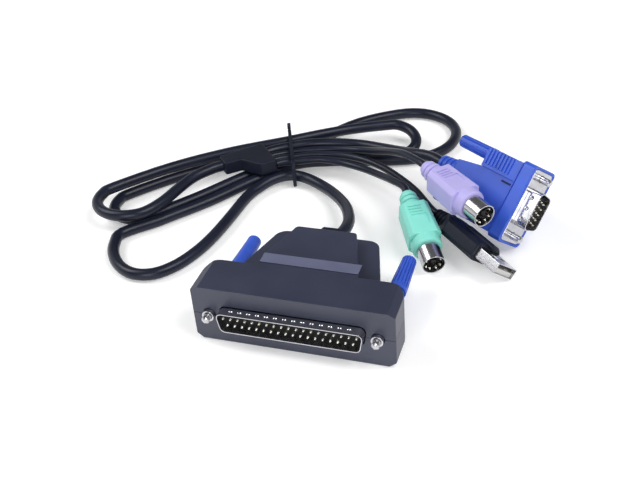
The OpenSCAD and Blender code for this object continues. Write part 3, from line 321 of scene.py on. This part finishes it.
def left_start(t):
    return -(REACH_LEFT - LOWER_DROP * (1 - climb(t))) + end_radius(True, t)


def right_start(t):
    return REACH_RIGHT - INNER_STEP * (1 - turn_k(t)) - end_radius(False, t)


def loop_point(t):
    """Each loop has four parts: the near run, the right end, the far run and the left end."""
    part, s = int(t * 4) % 4, t * 4 - int(t * 4)
    t0, t1 = int(t * 4) / 4, int(t * 4) / 4 + 0.25
    if part in (0, 2):
        a0, a1 = (left_start(t0), right_start(t1)) if part == 0 else (right_start(t0), left_start(t1))
        a = a0 * (1 - 2 * s) if s < 0.5 else a1 * (2 * s - 1)
        return hank_point(a, near_lat(a, t) if part == 0 else far_lat(a, t), loop_z(a, t))
    a, out = (left_start(t), -1) if part == 3 else (right_start(t), 1)
    r, mid = end_radius(part == 3, t), (near_lat(a, t) + far_lat(a, t)) / 2
    return hank_point(a + out * r * math.sin(math.pi * s), mid - out * r * math.cos(math.pi * s),
                      loop_z(a, t))


def last_point(s):
    """The last run, from the left end up to the splitter."""
    start = left_start(WHOLE_LOOPS)
    a, lean = start + (END_A - CABLE_D - start) * s, ease(s)
    return hank_point(a, (1 - lean) * near_lat(a, WHOLE_LOOPS) + lean * END_LEAN,
                      loop_z(a, WHOLE_LOOPS) * (1 - lean) + (WAIST_Z + LAYER_Z) * lean)


hank = [loop_point(i / LOOP_RINGS) for i in range(WHOLE_LOOPS * LOOP_RINGS + 1)]
hank += [last_point(i / LAST_RINGS) for i in range(1, LAST_RINGS + 1)]
hank += [hank_point(END_A, END_LEAN, WAIST_Z + LAYER_Z)]
way = (hank[1] - hank[0]).normalized()
long_points = [EXIT] + [Vector(p) for p in LEAD] + [hank[0] - way * CABLE_D] + hank
long_cable, long_run = cable("long_cable", long_points, CABLE_D)
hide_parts("main_lead", "cable_hank")

# The four tails
# The video tail is as thick as the long cable; the three others are thin. Each leaves the
# splitter and ends in the strain relief of its plug.
SPLIT_TURN, SPLIT_LEN = heading(END_A), 22


def splitter_point(x, lat):
    c = spine(END_A)
    return Vector((c.x + x * math.cos(SPLIT_TURN) - lat * math.sin(SPLIT_TURN),
                   c.y + x * math.sin(SPLIT_TURN) + lat * math.cos(SPLIT_TURN), WAIST_Z + LAYER_Z))


def plug_frame(at, pitch, roll_deg, head):
    return (Matrix.Translation(Vector(at) / 1000) @ Matrix.Rotation(math.radians(head), 4, "Z")
            @ Matrix.Rotation(math.radians(pitch), 4, "X") @ Matrix.Rotation(math.radians(roll_deg), 4, "Y"))


VGA = plug_frame((70.9, 75.1, 17.6), 0, -52, 55)
KEYBOARD = plug_frame((56.7, 59.3, 22), 4, 0, 47)
MOUSE = plug_frame((39.5, 46.7, 5), 13, 0, 29)
USB = plug_frame((67.2, 46.7, 6.1), 4, 40, 48)
# For each tail: thickness, place across the splitter, plug, length of the plug, points between.
TAILS = {
    "vga_tail": (5.0, -3.2, VGA, 48, [(-44, 117.4, 9.4), (-34.8, 122.2, 9.4), (-24, 124.6, 9.4),
                                      (-12, 125, 9.6), (0, 121.6, 10.8), (10, 116, 13.4), (18, 110.4, 16.4)]),
    "keyboard_tail": (3.2, -7.8, KEYBOARD, 40, [(-41.6, 113.4, 9), (-32.2, 117.6, 9), (-21.6, 119.4, 9.4),
                                                (-10.6, 118, 11), (-1, 112, 15), (7.4, 105, 19.6),
                                                (15.4, 97.8, 23.4)]),
    "usb_tail": (3.2, -11.7, USB, 44, [(-39, 109.8, 8.9), (-29.6, 114.2, 8.8), (-18, 115, 9),
                                       (-7, 112.2, 9.6), (3.4, 106.4, 10.2), (13, 98.8, 10.4),
                                       (22.4, 89.8, 10.4)]),
    "mouse_tail": (3.2, -15.5, MOUSE, 40, [(-36.8, 106.4, 8.8), (-26.6, 110.4, 8.6), (-15.6, 110, 8),
                                           (-5, 105.4, 9), (4.4, 98.4, 11), (12, 91, 13.6)]),
}
tail_cables = {}
for node, (wide, lat, where, plug_len, route) in TAILS.items():
    start, after = splitter_point(SPLIT_LEN, lat), splitter_point(SPLIT_LEN + wide, lat)
    stop = where @ Vector((0, plug_len / 1000, 0)) * 1000
    before = where @ Vector((0, (plug_len + 1.5 * wide) / 1000, 0)) * 1000
    made, run = cable(node + "_cable", [start, after] + route + [before, stop], wide)
    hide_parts(node)
    tail_cables[node] = (made, start, wide, run)


# The two shells of the module
# Dark navy moulded halves that meet at a seam, with a fine spark-eroded grain. Their solids are
# copied, their flats joined up, and each sharp edge gets the small round of a moulding.
def even_shading(piece, degrees):
    """Flat faces shade flat, and only the small rounds between them shade smooth."""
    bpy.ops.mesh.customdata_custom_splitnormals_clear()
    bpy.ops.object.shade_smooth_by_angle(angle=math.radians(degrees))
    even = piece.modifiers.new("even", "WEIGHTED_NORMAL")
    even.keep_sharp = True
    bpy.ops.object.modifier_apply(modifier="even")


def rounded(piece, width, segments, degrees=30, clamp=True):
    """The active piece gets a small round on each edge that is sharper than this angle."""
    edge = piece.modifiers.new("edge", "BEVEL")
    edge.width, edge.segments, edge.use_clamp_overlap = width, segments, clamp
    edge.limit_method, edge.angle_limit = "ANGLE", math.radians(degrees)
    bpy.ops.object.modifier_apply(modifier="edge")


def finished(name, node, width_mm, look, segments=2, smooth_deg=24):
    """A copy of a source solid with its edges rounded, in the place of that solid."""
    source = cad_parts[node]
    bpy.ops.object.select_all(action="DESELECT")
    made = source.copy()
    made.data = source.data.copy()
    made.name = name
    bpy.context.collection.objects.link(made)
    for key in [k for k in made.keys() if k.startswith("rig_")]:
        del made[key]
    made.parent = None
    made.matrix_world = Matrix.Identity(4)
    bpy.context.view_layer.objects.active = made
    made.select_set(True)
    bpy.ops.object.mode_set(mode="EDIT")
    bpy.ops.mesh.select_all(action="SELECT")
    bpy.ops.mesh.remove_doubles(threshold=0.00001)
    bpy.ops.mesh.dissolve_limited(angle_limit=math.radians(1.0))
    bpy.ops.object.mode_set(mode="OBJECT")
    rounded(made, width_mm / 1000, segments, degrees=22, clamp=False)
    made.data.materials.clear()
    made.data.materials.append(look)
    even_shading(made, smooth_deg)
    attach(made, ROOT)
    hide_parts(node)
    return made


CASE = wear_and_reflection(Finish("case_plastic", (0.015, 0.019, 0.044), 0.42, spec=0.8), 22, 0.35, 1.3, 0.05, 0.02)
finished("upper_shell", "top_shell", 0.28, CASE)
finished("lower_shell", "bottom_shell", 0.28, CASE)

# The blank strip on the hood
# A thin grey-lavender film pressed into a shallow recess; it stays bare.
LABEL = wear_and_reflection(Finish("label_film", (0.100, 0.108, 0.175), 0.5, spec=0.3), 9, 0.3, 1.15, 0.05, 0.01)
finished("label_film", "label_strip", 0.08, LABEL)

# The wide connector's bright rim
# Pressed sheet with bright nickel plating. A row of small dents along the rim's upper side grips
# the mating shell; each is pressed in by a ball.
# The plating's colour is mottled darker in random blotches; these blotches are painted reflection.
NICKEL = wear_and_reflection(Finish("bright_nickel", (0.60, 0.60, 0.63), 0.21, metal=1.0), 4, 0.8, 0.8, 0.06, 0.006)
wide_rim = finished("wide_rim", "connector_flange", 0.18, NICKEL, segments=3)


def joined(parts):
    """These objects become one mesh, which is then the active one."""
    bpy.ops.object.select_all(action="DESELECT")
    for part in parts:
        part.select_set(True)
    bpy.context.view_layer.objects.active = parts[0]
    if len(parts) > 1:
        bpy.ops.object.join()
    return parts[0]


def carved(piece, tool):
    """The tool's shape is cut out of the piece, and the tool is gone."""
    bpy.ops.object.select_all(action="DESELECT")
    piece.select_set(True)
    bpy.context.view_layer.objects.active = piece
    cut = piece.modifiers.new("cut", "BOOLEAN")
    cut.operation, cut.object = "DIFFERENCE", tool
    bpy.ops.object.modifier_apply(modifier="cut")
    bpy.data.objects.remove(tool)


def dented(sheet, places_m, ball_mm):
    """Balls of this radius are pressed into the sheet at these places."""
    balls = []
    for at in places_m:
        bpy.ops.mesh.primitive_uv_sphere_add(segments=40, ring_count=24, radius=ball_mm / 1000, location=at)
        balls.append(bpy.context.active_object)
    tool = joined(balls)
    bpy.ops.object.transform_apply(location=True, rotation=True, scale=True)
    carved(sheet, tool)
    even_shading(sheet, 30)


DENTS, DENT_STEP = 14, 0.0034
dented(wide_rim, [((i - (DENTS - 1) / 2) * DENT_STEP, -0.0114, 0.01728) for i in range(DENTS)], 1.4)

# What sits in and behind the wide rim
# Black moulded insulator, bright contact pins with flashed tips, and the pressed back shell.
STEEL = wear_and_reflection(Finish("zinc_steel", (0.42, 0.42, 0.44), 0.32, metal=1.0), 5, 0.5, 1.1, 0.08, 0.02)
GOLD = wear_and_reflection(Finish("flashed_contacts", (0.86, 0.84, 0.76), 0.25, metal=1.0), 2, 0.4, 1.05, 0.05, 0.01)
BLACK = wear_and_reflection(Finish("black_insulator", (0.004, 0.004, 0.005), 0.42, spec=0.25), 6, 0.4, 1.6, 0.06, 0.015)
finished("wide_back", "connector_back_shell", 0.1, STEEL)
finished("wide_insulator", "connector_insulator", 0.08, BLACK)

# The jackscrews' ends and their ferrules
# Turned ferrules stand proud of the face; each screw's tip has a rolled thread, wound here round
# the plain shank of the source.
finished("ferrules", "screw_ferrules", 0.2, NICKEL)


def settle(name, where, look, body=ROOT, smooth_deg=30):
    """The active mesh, drawn in millimetres, is moved to its place and handed over."""
    piece = bpy.context.active_object
    piece.name = name
    bpy.ops.object.transform_apply(location=True, rotation=True, scale=True)
    piece.data.transform(where @ Matrix.Scale(0.001, 4))
    piece.data.materials.clear()
    piece.data.materials.append(look)
    even_shading(piece, smooth_deg)
    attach(piece, body)
    return piece


THREAD_RADIUS, THREAD_PITCH = 1.27, 0.55


def thread(name, where, start_y, turns, body):
    bpy.ops.object.select_all(action="DESELECT")
    bpy.ops.mesh.primitive_circle_add(vertices=4, radius=THREAD_PITCH * 0.42,
                                      location=(THREAD_RADIUS, 0, 0), rotation=(math.pi / 2, 0, 0))
    bpy.ops.object.transform_apply(location=True, rotation=True, scale=True)
    ridge = bpy.context.active_object
    winding = ridge.modifiers.new("winding", "SCREW")
    winding.angle = 2 * math.pi
    winding.screw_offset = THREAD_PITCH
    winding.iterations = turns
    winding.steps = winding.render_steps = 20
    winding.use_merge_vertices = True
    bpy.ops.object.modifier_apply(modifier="winding")
    bpy.ops.object.mode_set(mode="EDIT")
    bpy.ops.mesh.select_all(action="SELECT")
    bpy.ops.mesh.fill_holes(sides=4)
    bpy.ops.mesh.normals_make_consistent(inside=False)
    bpy.ops.object.mode_set(mode="OBJECT")
    along = Matrix.Translation((0, start_y / 1000, 0)) @ Matrix.Rotation(-math.pi / 2, 4, "X")
    settle(name, where @ along, NICKEL, body)


SCREW_X, SEAM_Z = 0.03175, 0.012
SCREWS = {side: Matrix.Translation((x, 0, SEAM_Z)) for side, x in (("left", -SCREW_X), ("right", SCREW_X))}
for side, where in SCREWS.items():
    thread(side + "_thread", where, start_y=-13.0, turns=4, body=side + "_hand_screw")

# The thumb knobs of the module
# Satin blue plastic, drawn with lengthwise finger ribs, a rounded nose and a plain collar where
# the knob is pressed on its screw.
BLUE = wear_and_reflection(Finish("blue_plastic", (0.030, 0.088, 0.50), 0.38, spec=0.4), 10, 0.4, 1.2, 0.06, 0.015)


def ribbed_knob(name, where, node, start_y, length, base_d, tip_d, ribs, depth, neck, body):
    """A tapered handle, two of every three faces round it raised as a rib; each neck ring is
    given by its diameter, start and end."""
    sides = ribs * 3
    bpy.ops.object.select_all(action="DESELECT")
    bpy.ops.mesh.primitive_cylinder_add(vertices=sides, radius=base_d / 2 - depth, depth=length,
                                        location=(0, 0, length / 2))
    bpy.ops.object.transform_apply(location=True, rotation=True, scale=True)
    knob = bpy.context.active_object
    bpy.ops.object.mode_set(mode="EDIT")
    bpy.ops.mesh.select_all(action="DESELECT")
    bpy.ops.object.mode_set(mode="OBJECT")
    step = 2 * math.pi / sides
    for face in knob.data.polygons:
        if abs(face.normal.z) < 0.5:
            face.select = int(math.atan2(face.center.y, face.center.x) % (2 * math.pi) / step) % 3 != 2
    bpy.ops.object.mode_set(mode="EDIT")
    bpy.ops.mesh.select_mode(type="FACE")
    bpy.ops.mesh.extrude_region_shrink_fatten(TRANSFORM_OT_shrink_fatten={"value": depth})
    bpy.ops.mesh.select_all(action="DESELECT")
    bpy.ops.object.mode_set(mode="OBJECT")
    for vertex in knob.data.vertices:
        if vertex.co.z > length / 2:
            vertex.co.x *= tip_d / base_d
            vertex.co.y *= tip_d / base_d
    for face in knob.data.polygons:
        face.select = face.normal.z > 0.9
    bpy.ops.object.mode_set(mode="EDIT")
    for rise, keep in ((0.55, 0.86), (0.40, 0.70)):
        bpy.ops.mesh.extrude_region_move(TRANSFORM_OT_translate={"value": (0, 0, rise)})
        bpy.ops.transform.resize(value=(keep, keep, 1), center_override=(0, 0, length))
    bpy.ops.mesh.select_all(action="SELECT")
    bpy.ops.mesh.normals_make_consistent(inside=False)
    bpy.ops.object.mode_set(mode="OBJECT")
    parts = [knob]
    for neck_d, low, high in neck:
        bpy.ops.mesh.primitive_cylinder_add(vertices=40, radius=neck_d / 2, depth=high - low,
                                            location=(0, 0, (low + high) / 2 - start_y))
        ring = bpy.context.active_object
        rounded(ring, 0.2, 2)
        parts.append(ring)
    joined(parts)
    along = Matrix.Translation((0, start_y / 1000, 0)) @ Matrix.Rotation(-math.pi / 2, 4, "X")
    made = settle(name, where @ along, BLUE, body, 28)
    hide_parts(node)


for side, where in SCREWS.items():
    ribbed_knob(side + "_grip", where, side + "_knob", start_y=19.9, length=18.0, base_d=7.0, tip_d=5.7,
                ribs=16, depth=0.4, neck=[(5.4, 11.5, 20.2), (6.9, 18.0, 20.6)],
                body=side + "_hand_screw")

# The cable's relief at the hood
# A soft grommet with a low collar standing behind the hood and a short ringed nose.
SOFT = wear_and_reflection(Finish("dark_overmould", (0.005, 0.007, 0.016), 0.48, spec=0.2), 12, 0.4, 1.4, 0.06, 0.02)
finished("cable_relief", "cable_grommet", 0.3, SOFT, smooth_deg=35)

# The splitter and the tie
# The long cable ends in a flat moulded block from which the four tails run on; a thin band of
# the same soft plastic holds the hank at its waist.
finished("split_block", "cable_splitter", 0.8, SOFT, segments=3, smooth_deg=35)
finished("cable_tie", "twist_tie", 0.25, SOFT, smooth_deg=35)

# The video plug
# A blue hood moulded in one shot, with a groove round its front plate, eight ribs on each finger
# block, a short slot on top drawn as a dark strip of painted shade, and thin side walls over the
# screws' clips. Its rim is dented too.
hood = finished("video_hood", "vga_hood", 0.2, BLUE)


def box(low, high):
    """A box between two corners, in millimetres."""
    low, high = Vector(low), Vector(high)
    bpy.ops.mesh.primitive_cube_add(size=1, location=(low + high) / 2, scale=high - low)
    bpy.ops.object.transform_apply(location=True, rotation=True, scale=True)
    return bpy.context.active_object


for low, high in (((-18, 5.3, 7.3), (18, 5.9, 9)), ((-18, 5.3, -9), (18, 5.9, -7.3)),
                  ((16.1, 5.3, -9), (18, 5.9, 9)), ((-18, 5.3, -9), (-16.1, 5.9, 9))):
    groove = box(low, high)
    groove.data.transform(VGA @ Matrix.Scale(0.001, 4))
    carved(hood, groove)
even_shading(hood, 24)
video_rim = finished("video_rim", "vga_flange", 0.16, NICKEL, segments=3)
dented(video_rim, [VGA @ Vector((x / 1000, -0.0027, 0.00525)) for x in (-4.6, 0, 4.6)], 1.45)
finished("video_insulator", "vga_insulator", 0.08, BLACK)


def blocks(name, where, boxes, look, edge_mm=0.0, segments=2):
    """Boxes given by their low and high corners, joined into one piece with rounded edges."""
    bpy.ops.object.select_all(action="DESELECT")
    parts = []
    for low, high in boxes:
        parts.append(box(low, high))
        if edge_mm:
            rounded(parts[-1], edge_mm, segments)
    joined(parts)
    settle(name, where, look)


RIBS, RIB_STEP, RIB_HALF = 8, 1.75, 0.45
ribs = []
for i in range(RIBS):
    mid = 23.5 - RIB_STEP * i
    for low_x, high_x in ((-15.3, -8.4), (8.4, 15.3)):
        for low_z, high_z in ((6.2, 7.25), (-7.25, -6.2)):
            ribs.append(((low_x, mid - RIB_HALF, low_z), (high_x, mid + RIB_HALF, high_z)))
blocks("video_ribs", VGA, ribs, BLUE, 0.18)
walls = [((low_x, 7.7, -1.5), (high_x, 12.2, 1.5)) for low_x, high_x in ((-15.42, -15.22), (15.22, 15.42))]
blocks("video_side_walls", VGA, walls, BLUE)
# The slot is not cut: a thin dark block lies on the top face, and its dark blue is painted shade.
SHADE = wear_and_reflection(Finish("painted_slot_shade", (0.005, 0.010, 0.07), 0.5, spec=0.2), 6, 0.4, 1.3, 0.05, 0.01)
blocks("video_slot_shade", VGA, [((4.8, 7.8, 6.0), (5.6, 12.6, 6.42))], SHADE, 0.08)
VIDEO_SCREW_X = 0.0125
for side, x in (("upper", VIDEO_SCREW_X), ("lower", -VIDEO_SCREW_X)):
    where, body = VGA @ Matrix.Translation((x, 0, 0)), "vga_%s_hand_screw" % side
    ribbed_knob("video_%s_grip" % side, where, "vga_%s_knob" % side, start_y=25.3, length=18.2, base_d=5.9,
                tip_d=5.4, ribs=14, depth=0.36, neck=[(5.9, 25.4, 28.2)], body=body)
    thread("video_%s_thread" % side, where, start_y=-4.4, turns=5, body=body)

# The two round plugs
# Lavender for the keyboard and mint for the mouse. Each is a chamfered block with a round
# collar, three soft rings toward the cable, and low raised strokes on its top face.
LAVENDER = wear_and_reflection(Finish("lavender_overmould", (0.44, 0.40, 0.74), 0.42, spec=0.3), 9, 0.4, 1.06, 0.05, 0.02)
MINT = wear_and_reflection(Finish("mint_overmould", (0.23, 0.68, 0.58), 0.42, spec=0.3), 9, 0.4, 1.06, 0.05, 0.02)


def barrel(diameter, low, high, edge_mm):
    """A round ring or collar along the plug, from low to high."""
    bpy.ops.mesh.primitive_cylinder_add(vertices=48, radius=diameter / 2, depth=high - low,
                                        location=(0, (low + high) / 2, 0), rotation=(math.pi / 2, 0, 0))
    bpy.ops.object.transform_apply(location=True, rotation=True, scale=True)
    made = bpy.context.active_object
    rounded(made, edge_mm, 3)
    return made


def round_plug(name, where, node, look):
    bpy.ops.object.select_all(action="DESELECT")
    block_end = 30.8
    block = box((-6.7, 12.6, -5.9), (6.7, block_end, 5.9))
    bpy.ops.object.mode_set(mode="EDIT")
    bpy.ops.mesh.select_all(action="DESELECT")
    bpy.ops.object.mode_set(mode="OBJECT")
    for edge in block.data.edges:
        start, end = (block.data.vertices[v].co for v in edge.vertices)
        edge.select = abs(start.y - end.y) > 10
    bpy.ops.object.mode_set(mode="EDIT")
    bpy.ops.mesh.select_mode(type="EDGE")
    bpy.ops.mesh.bevel(offset=1.9, segments=1, affect="EDGES")
    bpy.ops.mesh.select_all(action="DESELECT")
    bpy.ops.object.mode_set(mode="OBJECT")
    for face in block.data.polygons:
        face.select = face.normal.y > 0.9
    bpy.ops.object.mode_set(mode="EDIT")
    bpy.ops.mesh.select_mode(type="FACE")
    bpy.ops.transform.resize(value=(0.9, 1, 0.93), center_override=(0, block_end, 0))
    bpy.ops.object.mode_set(mode="OBJECT")
    rounded(block, 0.45, 3, degrees=20)
    joined([block, barrel(12.4, 8.2, 13.4, 0.9), barrel(5.8, 30.4, 40.0, 0.4), barrel(8.8, 31.2, 33.4, 0.7),
            barrel(8.2, 34.0, 36.1, 0.7), barrel(7.5, 36.7, 38.7, 0.7)])
    made = settle(name + "_grip", where, look, ROOT, 26)
    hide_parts(node)
    strokes = [((-3.2, y - 0.19, 5.7), (2.0, y + 0.19, 6.1)) for y in (27.8, 26.2, 24.6, 23.0)]
    strokes += [((2.9, 17.6, 5.7), (3.25, 23.19, 6.1)), ((2.1, 22.81, 5.7), (2.8, 23.19, 6.1))]
    blocks(name + "_strokes", where, strokes, look, 0.1)


for which, where, look, slot in (("keyboard", KEYBOARD, LAVENDER, "lavender_overmould"),
                                 ("mouse", MOUSE, MINT, "mint_overmould")):
    round_plug(which, where, which + "_plug_grip", look)
    finished(which + "_sleeve", which + "_plug_sleeve", 0.1, NICKEL)
    finished(which + "_disc", which + "_plug_insulator", 0.08, BLACK)

# The flat plug
# A dark faceted grip with one raised finger along its top that runs out over the metal shell;
# in the shell a pale tongue carries the contacts.
WHITE = wear_and_reflection(Finish("white_tongue", (0.55, 0.55, 0.53), 0.45), 4, 0.4, 1.05, 0.06, 0.01)
finished("bus_grip", "usb_plug_grip", 0.35, SOFT)
blocks("bus_finger", USB, [((-1.4, 9.6, 3.0), (2.6, 27.5, 5.0))], SOFT, 0.7, segments=3)
finished("bus_shell", "usb_plug_shell", 0.06, NICKEL)
finished("bus_tongue", "usb_plug_tongue", 0.08, WHITE)

# Pieces that keep the source's own solid
# Contacts, screws, clips and wires are plain turned or stamped pieces.
WIRE = wear_and_reflection(Finish("wire_insulation", (0.30, 0.05, 0.04), 0.4), 3, 0.3, 1.2, 0.05, 0.01)
for node, look in {"connector_pins": GOLD, "vga_pins": GOLD, "keyboard_plug_pins": GOLD,
                   "mouse_plug_pins": GOLD, "usb_plug_contacts": GOLD, "cable_clamp": STEEL,
                   "clamp_screws": STEEL, "case_screws": STEEL, "cable_inner_end": JACKET,
                   "conductors": WIRE, "left_jackscrew": NICKEL, "right_jackscrew": NICKEL,
                   "left_screw_clip": STEEL, "right_screw_clip": STEEL, "vga_upper_screw": NICKEL,
                   "vga_lower_screw": NICKEL, "vga_upper_clip": STEEL, "vga_lower_clip": STEEL}.items():
    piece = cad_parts[node]
    for place in piece.material_slots:
        place.material = look

# The tails' starts and thicknesses, in metres
# They are worked out here and not kept; each route's length is reckoned where its cable is drawn.
for node, (made, start, wide, run) in tail_cables.items():
    start / 1000
    wide / 1000

# The box of the finished model
# It spans every shown piece but the table.
low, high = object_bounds()
